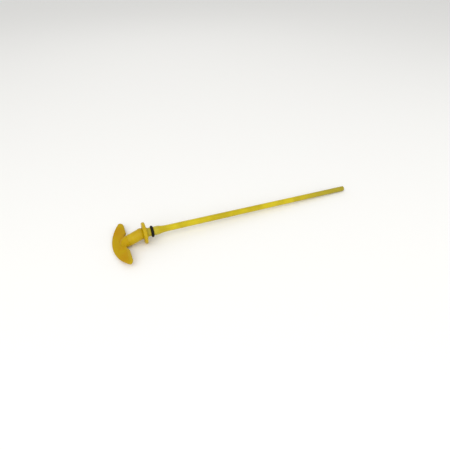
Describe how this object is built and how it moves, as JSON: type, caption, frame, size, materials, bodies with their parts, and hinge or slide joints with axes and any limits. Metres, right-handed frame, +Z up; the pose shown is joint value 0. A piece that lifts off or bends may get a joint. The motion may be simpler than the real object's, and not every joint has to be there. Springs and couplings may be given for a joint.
{
  "type": "drill paint mixer",
  "caption": "Paint mixer for a drill: plastic shaft over a steel core, flange and O-ring at its foot, and a two-winged mixing head that swings on a gimbal joint.",
  "frame": {"origin": "bottom centre of the bounding box of the mixer as it lies at rest", "axes": "+X along the shaft towards its drill end, as seen from above; +Y across, along the blade's wings; +Z up"},
  "size_m": [0.3782, 0.0848, 0.0304],
  "materials": {
    "shaft_plastic": "yellow moulded plastic, soft gloss",
    "collar_plastic": "slightly paler yellow moulded plastic, soft gloss",
    "head_plastic": "amber yellow moulded plastic, soft gloss",
    "blade_plastic": "amber yellow moulded plastic, satin",
    "seal_rubber": "black nitrile rubber",
    "core_steel": "drawn steel bar"
  },
  "bodies": {
    "shaft": {"core_rod": "core_steel", "shaft_sleeve": "shaft_plastic", "coupling_collar": "collar_plastic", "o_ring": "seal_rubber", "flange_cup": "head_plastic", "drive_ball": "core_steel"},
    "gimbal": {"gimbal_ring": "core_steel", "ball_pin": "core_steel"},
    "head": {"hub_pins": "head_plastic", "hub_sleeve": "head_plastic", "blade": "blade_plastic"}
  },
  "joints": [
    {"name": "side_swing", "type": "hinge", "parent": "shaft", "child": "gimbal", "pos_m": [-0.14823, 0.00059, 0.0154], "axis": [0.0339, 0, 0.9994], "range_deg": [-9.5, 6.5]},
    {"name": "head_tilt", "type": "hinge", "parent": "gimbal", "child": "head", "pos_m": [-0.14823, 0.00059, 0.0154], "axis": [-0.0262, 0.9997, 0.0009], "range_deg": [-0.89, 43.11]}
  ]
}
